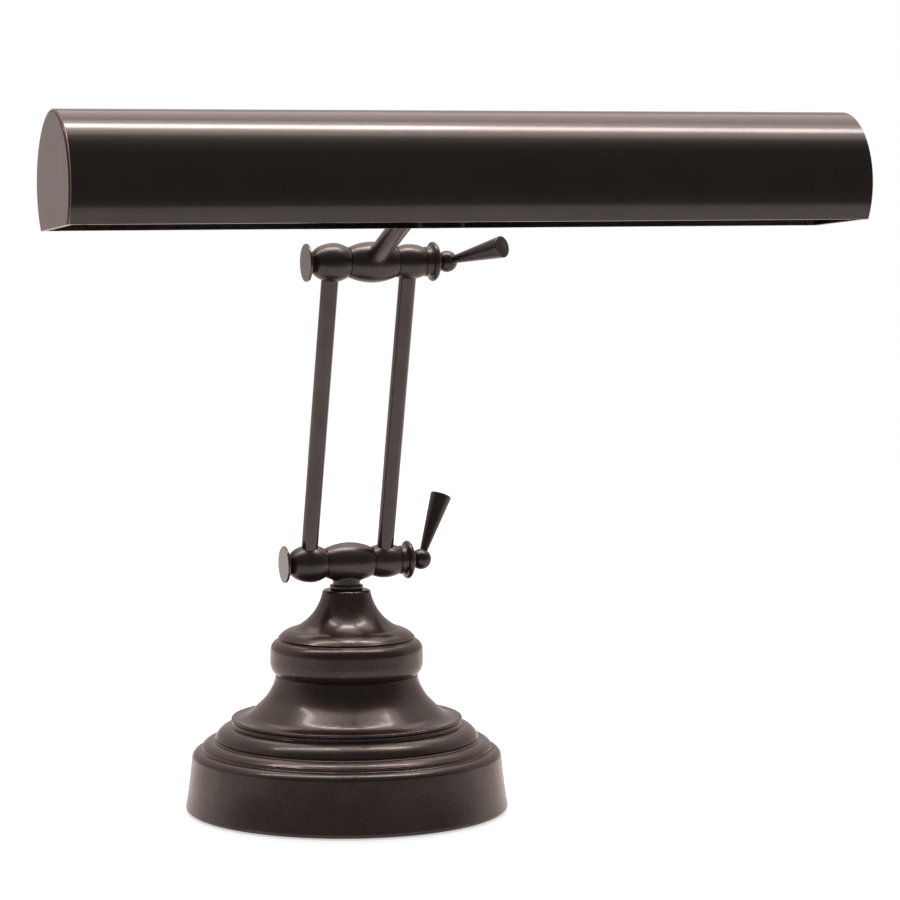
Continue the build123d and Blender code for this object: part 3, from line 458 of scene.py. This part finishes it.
def bronze(name, dark, light, centre=(0, 0, 0), turn=(0, 0, 0), cloud=0.022, rings=0.0005,
           grain=0.03, reach=0.0006, rub_at=(0.02, 0.16), rough=(0.20, 0.27), coat=(0.42, 0.10)):
    """Rubbed bronze for a part that was turned about the axis at `centre`, `turn`.

    `dark` and `light` are the stain's two browns, `cloud` the size of its clouds, `rings` and
    `grain` the spacing and depth of the lathe lines, `reach` and `rub_at` how wide and how
    sharp an edge is when its copper shows, `rough` the stain's smoothest and roughest, and
    `coat` the weight and roughness of the clear coat.
    """
    material, tree = start_material(name)
    here = object_place(tree)
    wiped = use_group(tree, stain, Place=here, Cloud_Size=cloud, Dark=(*dark, 1), Light=(*light, 1))
    worn = use_group(tree, rub, Place=here, Reach=reach, Onset=rub_at[0], Full=rub_at[1])["Bare"]
    turned = use_group(tree, lathe, Place=object_place(tree, centre, turn), Spacing=rings)["Height"]
    waves = {"Vector": here, "Scale": 130.0, "Detail": 1.0}
    ripple = add_node(tree, "ShaderNodeTexNoise", waves).outputs["Fac"]
    rippled = math_node(tree, "MULTIPLY", ripple, RIPPLE)
    height = math_node(tree, "MULTIPLY_ADD", turned, grain, rippled)
    sheen = smooth_step(tree, wiped["Thickness"], 0.0, 1.0, rough[1], rough[0])
    shader = finish_material(
        tree,
        Base_Color=mix_colours(tree, worn, wiped["Colour"], COPPER),
        Metallic=smooth_step(tree, worn, 0.0, 1.0, STAIN_METAL, 1.0),
        Roughness=sheen,
        Normal=bump(tree, height, 0.25, 0.0002),
        Specular_Tint=(0.80, 0.60, 0.54, 1.0), IOR=1.5,
        Coat_Weight=coat[0], Coat_Roughness=coat[1], Coat_IOR=1.5,
        Coat_Tint=(1.0, 0.90, 0.86, 1.0),
    )
    return material, tree, shader


print("bronze ready, its bare edges are", COPPER[:3])

# %% [markdown]
# ### One bronze for each kind of part
#
# Parts that come out of one bath of stain still don't look alike. Here the base is the
# warmest brown, the hubs and levers are satin, and the flat heads of the bolts shine most.
# One material could serve them all, but the lathe lines have to follow each part's own axis,
# so each gets its own call.

# %% Make the bronzes
ALONG_X = (0, radians(90), 0)
ALONG_ARM = (radians(14.63), 0, 0)
LOWER_AXIS, UPPER_AXIS = (0, 0, 0.1189), (0, -0.0376, 0.2631)
SATIN = {"rough": (0.29, 0.36), "coat": (0.42, 0.27)}
HUB = {
    "dark": (0.033, 0.026, 0.0235), "light": (0.052, 0.041, 0.037),
    "turn": ALONG_X, "rub_at": (0.08, 0.40), **SATIN,
}
BOLT = {**HUB, "coat": (0.75, 0.12), "rub_at": (0.02, 0.14), "reach": 0.0009}

base_bronze = bronze(
    "bronze_base", (0.031, 0.022, 0.0185), (0.055, 0.0395, 0.034),
    rough=(0.27, 0.34), coat=(0.36, 0.13),
)[0]
lower_bronze = bronze("bronze_lower_hub", centre=LOWER_AXIS, **HUB)[0]
upper_bronze = bronze("bronze_upper_hub", centre=UPPER_AXIS, **HUB)[0]
lower_bolt_bronze = bronze("bronze_lower_bolt", centre=LOWER_AXIS, **BOLT)[0]
upper_bolt_bronze = bronze("bronze_upper_bolt", centre=UPPER_AXIS, **BOLT)[0]
arm_bronze = bronze(
    "bronze_arm", (0.040, 0.031, 0.028), (0.055, 0.043, 0.038), LOWER_AXIS, ALONG_ARM, rings=0.003
)[0]
lever_bronze = bronze(
    "bronze_lever", (0.024, 0.019, 0.017), (0.042, 0.033, 0.029),
    rings=0.004, reach=0.0010, rub_at=(0.015, 0.12), **SATIN,
)[0]
print("bronzes:", len([m for m in bpy.data.materials if m.name.startswith("bronze")]))

# %% [markdown]
# ## The shade: bronze outside, white enamel inside
#
# A reflector is sprayed white inside so that more of the light reaches the music. The shade
# is one thin shell, so one material has to carry both: it measures how far a point is from
# the middle of the round, and everything inside the half-thickness of the sheet is enamel,
# apart from the folded hems. The end caps take the same enamel inside. Where each cap meets
# the saw-cut end of the shell, the rim is rubbed to bare metal. Painting a mask by hand would
# work too, but it would need a UV map.

# %% Measure where a point of the shade lies
SHADE_PLACE = (0.0, -0.168, 0.2828)      # middle of the plane of the two rims
SHADE_TURN = (radians(-4.2), 0, 0)
ROUND_CENTRE = 0.0173                    # the round's centre, above that plane
HEM_TOP = 0.0043                         # the folded hems reach this far above it
SHEET_MIDDLE, CAP_INSIDE = 0.03085, 0.0298      # radii: half way through the shell, inside a cap
RIM_RADIUS = 0.03039                     # the bright rim lies outside this
CAP_START, RIM_START, CAP_FACE = 0.1768, 0.1775, 0.1779     # distances from the middle, along X

shade_bronze, tree, shader = bronze(
    "bronze_shade", (0.034, 0.027, 0.0245), (0.042, 0.034, 0.030), SHADE_PLACE, ALONG_X,
    cloud=0.05, rings=0.0012, grain=0.05, reach=0.0004, rub_at=(0.03, 0.3), rough=(0.24, 0.27),
)
here = object_place(tree, SHADE_PLACE, SHADE_TURN)
across = add_node(tree, "ShaderNodeSeparateXYZ", {0: here}).outputs
above_centre = math_node(tree, "SUBTRACT", across["Z"], ROUND_CENTRE)
sideways_squared = math_node(tree, "POWER", across["Y"], 2.0)
upwards_squared = math_node(tree, "POWER", above_centre, 2.0)
radius = math_node(tree, "SQRT", math_node(tree, "ADD", sideways_squared, upwards_squared))
along = math_node(tree, "ABSOLUTE", across["X"])
at_cap = math_node(tree, "GREATER_THAN", along, CAP_START)
inner = math_node(tree, "MULTIPLY_ADD", at_cap, CAP_INSIDE - SHEET_MIDDLE, SHEET_MIDDLE)
within = math_node(tree, "LESS_THAN", radius, inner)
behind_face = math_node(tree, "LESS_THAN", along, CAP_FACE)
above_hem = math_node(tree, "GREATER_THAN", across["Z"], HEM_TOP)
enamelled = math_node(tree, "MULTIPLY", math_node(tree, "MULTIPLY", within, behind_face), above_hem)
outside_cap = math_node(tree, "GREATER_THAN", radius, RIM_RADIUS)
at_end = math_node(tree, "GREATER_THAN", along, RIM_START)
bare_rim = math_node(tree, "MULTIPLY", outside_cap, at_end)
print("masks: enamel inside", round(1000 * SHEET_MIDDLE, 2), "mm, rim outside",
      round(1000 * RIM_RADIUS, 2), "mm")

# %% Paint the shade's enamel and its bare rims
BARE_RIM, ENAMEL = (0.30, 0.21, 0.155, 1.0), (0.80, 0.79, 0.75, 1.0)


def before(shader, name):
    """The output that feeds one of the shader's inputs now."""
    return shader.inputs[name].links[0].from_socket


def paint_over(tree, shader, mask, colour, metal, roughness):
    """Lays another finish over the shader's colour, metal and roughness where the mask is 1."""
    painted = mix_colours(tree, mask, before(shader, "Base Color"), colour)
    tree.links.new(painted, shader.inputs["Base Color"])
    for name, value in (("Metallic", metal), ("Roughness", roughness)):
        painted = mix_numbers(tree, mask, before(shader, name), value)
        tree.links.new(painted, shader.inputs[name])


paint_over(tree, shader, bare_rim, BARE_RIM, metal=1.0, roughness=0.25)
paint_over(tree, shader, enamelled, ENAMEL, metal=0.0, roughness=0.28)
print("shade finish:", len(tree.nodes), "nodes")

# %% [markdown]
# ## Plain metals
#
# Zinc plate, brass, pressed aluminium and cast iron are all metals to the shader. They differ
# in colour, in how rough they are and in their grain, so one function with those as inputs
# makes all four. A stretched noise gives the grain its direction.

# %% Mix the plain metals
def plain_metal(name, dark, light, rough, grain_size, stretch=(1, 1, 1), depth=0.00005):
    """Metal with a grain that is drawn out by `stretch` and a roughness range `rough`."""
    material, tree = start_material(name)
    here = add_node(tree, "ShaderNodeTexCoord").outputs["Object"]
    drawn = add_node(tree, "ShaderNodeMapping", {"Vector": here, "Scale": stretch}).outputs[0]
    grained = {"Vector": drawn, "Scale": 1.0 / grain_size, "Detail": 4.0}
    grain = add_node(tree, "ShaderNodeTexNoise", grained).outputs["Fac"]
    spots = use_group(tree, stain, Place=here, Cloud_Size=0.012, Dark=(*dark, 1), Light=(*light, 1))
    finish_material(
        tree,
        Base_Color=spots["Colour"],
        Metallic=1.0,
        Roughness=smooth_step(tree, grain, 0.3, 0.7, rough[0], rough[1]),
        Normal=bump(tree, grain, 0.3, depth),
    )
    return material


zinc = plain_metal(
    "zinc_plate", (0.42, 0.42, 0.40), (0.60, 0.61, 0.60),
    rough=(0.28, 0.42), grain_size=0.0012, stretch=(0.15, 1, 1),
)
iron = plain_metal(
    "sand_cast_iron", (0.030, 0.030, 0.032), (0.075, 0.072, 0.070),
    rough=(0.6, 0.8), grain_size=0.0011, depth=0.0003,
)
brass = plain_metal(
    "plain_brass", (0.60, 0.39, 0.15), (0.78, 0.55, 0.25),
    rough=(0.22, 0.34), grain_size=0.0006, stretch=(1, 0.2, 0.2),
)
aluminium = plain_metal(
    "pressed_aluminium", (0.66, 0.66, 0.65), (0.80, 0.80, 0.79),
    rough=(0.24, 0.36), grain_size=0.0008,
)
print("metals:", zinc.name, iron.name, brass.name, aluminium.name)

# %% [markdown]
# ## Moulded black plastic
#
# The sockets, the switch and the cord bushing are moulded in black. A spark-eroded mould
# leaves a fine even texture, which is a small noise in the bump and a broad, weak shine.

# %% Mix the plastic
black, tree = start_material("moulded_black")
here = object_place(tree)
eroded = {"Vector": here, "Scale": 2600.0, "Detail": 2.0}
texture = add_node(tree, "ShaderNodeTexNoise", eroded).outputs["Fac"]
worn = use_group(tree, rub, Place=here, Reach=0.0005)["Bare"]
tone = use_group(
    tree, stain, Place=here, Cloud_Size=0.03,
    Dark=(0.009, 0.009, 0.010, 1), Light=(0.014, 0.014, 0.015, 1),
)
finish_material(
    tree,
    Base_Color=mix_colours(tree, worn, tone["Colour"], (0.035, 0.035, 0.036, 1.0)),
    Roughness=smooth_step(tree, texture, 0.3, 0.7, 0.38, 0.52),
    Normal=bump(tree, texture, 0.35, 0.00008),
)
print("plastic:", black.name)

# %% [markdown]
# ## Frosted glass
#
# The inside of a soft-white bulb is dusted with fine silica, which scatters the light until
# the glass looks milky. Real scattering inside a thin wall is slow to render, so part of the
# light goes through as rough glass and the rest is answered by a near-white surface.

# %% Mix the bulb glass
glass, tree = start_material("frosted_glass")
here = object_place(tree)
dusted = {"Vector": here, "Scale": 500.0, "Detail": 3.0}
dust = add_node(tree, "ShaderNodeTexNoise", dusted).outputs["Fac"]
tone = use_group(
    tree, stain, Place=here, Cloud_Size=0.04, Speck_Size=0.004,
    Dark=(0.83, 0.83, 0.81, 1), Light=(0.86, 0.86, 0.85, 1),
)
finish_material(
    tree,
    Base_Color=tone["Colour"],
    Roughness=smooth_step(tree, dust, 0.3, 0.7, 0.24, 0.28),
    Transmission_Weight=0.15, IOR=1.5,
)
print("glass:", glass.name)

# %% [markdown]
# ## Felt
#
# A disc of wool felt keeps the base from scratching a piano lid. Felt has no weave: it is a
# mat of short fibres that lie in every direction. Two noises, one stretched along X and one
# along Y, cross each other like fibres, and Sheen adds the pale fuzz at a low angle.

# %% Mix the felt
felt, tree = start_material("wool_felt")
here = add_node(tree, "ShaderNodeTexCoord").outputs["Object"]
strands = []
for stretch in ((1, 0.12, 1), (0.12, 1, 1)):
    drawn = add_node(tree, "ShaderNodeMapping", {"Vector": here, "Scale": stretch}).outputs[0]
    hairy = {"Vector": drawn, "Scale": 2200.0, "Detail": 3.0}
    strands.append(add_node(tree, "ShaderNodeTexNoise", hairy).outputs["Fac"])
matted = math_node(tree, "MAXIMUM", strands[0], strands[1])
tone = smooth_step(tree, matted, 0.42, 0.68)
finish_material(
    tree,
    Base_Color=mix_colours(tree, tone, (0.006, 0.020, 0.011, 1.0), (0.022, 0.062, 0.036, 1.0)),
    Roughness=smooth_step(tree, matted, 0.3, 0.7, 0.86, 0.98),
    Normal=bump(tree, matted, 0.6, 0.0003),
    Sheen_Weight=0.25, Sheen_Roughness=0.5,
)
print("felt:", felt.name)

# %% [markdown]
# ## Dress the CAD parts
#
# Each CAD node came with one material slot from the record. Assigning to the slot changes the
# finish and leaves the shape alone. A few parts are picked out by name, such as the bolts,
# whose faces shine more than the rest of their hub. Every part whose slot isn't in the list
# belongs to one of the two hubs, and its name says which.

# %% Give every CAD part its finish
BY_SLOT = {
    "base_bronze": base_bronze, "lever_bronze": lever_bronze, "shade_bronze": shade_bronze,
    "zinc_steel": zinc, "cast_iron": iron, "felt": felt, "black_plastic": black, "brass": brass,
    "bulb_cap": aluminium, "bulb_glass": glass,
}
BY_NODE = {
    "left_arm": arm_bronze, "right_arm": arm_bronze, "base_knuckle": lower_bronze,
    "lower_bolt": lower_bolt_bronze, "upper_bolt": upper_bolt_bronze,
    "lower_friction_washers": lower_bronze, "upper_friction_washers": upper_bronze,
}
for name, part in frame["nodes"].items():
    for place in part.material_slots:
        slot = place.material.name.split(".")[0]
        hub = lower_bronze if name.startswith("lower_") else upper_bronze
        place.material = BY_NODE.get(name) or BY_SLOT.get(slot, hub)
print("dressed", len(frame["nodes"]), "CAD parts")

# %% [markdown]
# ## A surface turned about the upright axis
#
# The felt disc, like most small things on a lamp, is round. Blender's Spin tool or a Screw
# modifier would turn a drawn line about an axis. Here the line and its turning are worked out
# with numpy, which keeps both as plain formulas, and lets the radius wander a little on the
# way round, as the edge of a cut mat does.

# %% Measure a closed mesh
def signed_volume(mesh):
    """A sixth of the sum of a . (b x c) over the triangles: positive if faces point outwards."""
    mesh.calc_loop_triangles()
    places = np.empty(3 * len(mesh.vertices), np.float32)
    corners = np.empty(3 * len(mesh.loop_triangles), np.int32)
    mesh.vertices.foreach_get("co", places)
    mesh.loop_triangles.foreach_get("vertices", corners)
    triangles = places.astype(float).reshape(-1, 3)[corners.reshape(-1, 3)]
    a, b, c = triangles.transpose(1, 0, 2)
    return float((a * np.cross(b, c)).sum() / 6)


print("volume helper ready")

# %% Turn a line into a closed surface
def turned_surface(name, radii, heights, around=192, wander=None):
    """A closed surface of revolution about Z.

    Point (i, j) is (R cos t, R sin t, z_i) with t = 2 pi j / around and
    R = r_i + wander(t) * r_i / max(r). The line starts and ends on the axis, where one
    point each closes the surface, and runs from the underside outwards and up, so that
    the faces point outwards.
    """
    radii, heights = np.asarray(radii, float), np.asarray(heights, float)
    t = np.linspace(0, 2 * pi, around, endpoint=False)
    drift = 0 if wander is None else wander(t)[None, :] * (radii / radii.max())[:, None]
    reach = radii[:, None] + drift
    level = np.repeat(heights[:, None], around, axis=1)
    grid = np.stack([reach * np.cos(t), reach * np.sin(t), level], axis=2)
    rows = len(radii) - 2
    points = np.concatenate([grid[:1, 0], grid[1:-1].reshape(-1, 3), grid[-1:, 0]])
    index = 1 + np.arange(rows * around).reshape(rows, around)
    beside = np.roll(index, -1, axis=1)
    quads = np.stack([index[:-1], beside[:-1], beside[1:], index[1:]], axis=2).reshape(-1, 4)
    last = np.full(around, len(points) - 1)
    low = np.stack([beside[0], index[0], np.zeros(around, int)], axis=1)
    top = np.stack([index[-1], beside[-1], last], axis=1)
    mesh = bpy.data.meshes.new(name)
    mesh.from_pydata(points.tolist(), [], quads.tolist() + low.tolist() + top.tolist())
    mesh.shade_smooth()
    piece = bpy.data.objects.new(name, mesh)
    bpy.context.scene.collection.objects.link(piece)
    print(name, len(mesh.polygons), "faces, volume", round(1e6 * signed_volume(mesh), 2), "cm3")
    return piece


print("turning helper ready")

# %% [markdown]
# ## The felt disc
#
# A disc of two-millimetre wool felt is glued under the base, so that the lamp doesn't scratch
# a piano. It is stamped from a sheet: the punch leaves both edges a little round, and the
# outline is never quite a circle. A cloth simulation would add nothing to a mat that is glued
# flat, so the disc is turned from its own line.

# %% Lay the felt disc
FELT_RADIUS, FELT_THICKNESS, FELT_EDGE = 0.0741, 0.0020, 0.0006
FELT_WANDER = 0.00012


def felt_outline():
    """Half the disc's section: the underside out to the edge, two rounds and the top.

    A round is (r - e + e sin b, e (1 - cos b)) with b from 0 to a right angle, and the upper
    one is the same, turned over.
    """
    bend = np.linspace(0, pi / 2, 7)
    flat = np.linspace(0, FELT_RADIUS - FELT_EDGE, 26)
    side = FELT_RADIUS - FELT_EDGE + FELT_EDGE * np.sin(bend)
    low = FELT_EDGE * (1 - np.cos(bend))
    radii = np.concatenate([flat, side[1:], side[::-1], flat[::-1][1:]])
    underside, top = np.zeros(len(flat)), np.full(len(flat) - 1, FELT_THICKNESS)
    heights = np.concatenate([underside, low[1:], FELT_THICKNESS - low[::-1], top])
    return radii, heights


def punched(t):
    """How far the outline falls short of the circle: two slow waves and two quick ones."""
    slow = 0.6 * np.sin(3 * t + 0.4) + 0.4 * np.sin(7 * t + 1.9)
    quick = 0.3 * np.sin(31 * t) + 0.2 * np.sin(53 * t + 1)
    return FELT_WANDER * (slow + quick - 1.5)


felt_disc = turned_surface("felt_disc", *felt_outline(), wander=punched)
felt_disc.data.materials.append(felt)
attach(felt_disc, "base")
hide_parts("felt_pad")

# %% [markdown]
# ## Measure and finish
#
# The dressed lamp has to be as large as its CAD model. The two boxes could be compared by eye
# in the sidebar, but numbers show a tenth of a millimetre, so the shift of each corner is printed.

# %% Write the sizes and finish
visual_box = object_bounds()
for corner, before_dressing, dressed in zip(("lowest", "highest"), cad_box, visual_box):
    moved = [round(1000 * (b - a), 2) for a, b in zip(before_dressing, dressed)]
    print("the", corner, "corner moves by", moved, "mm")
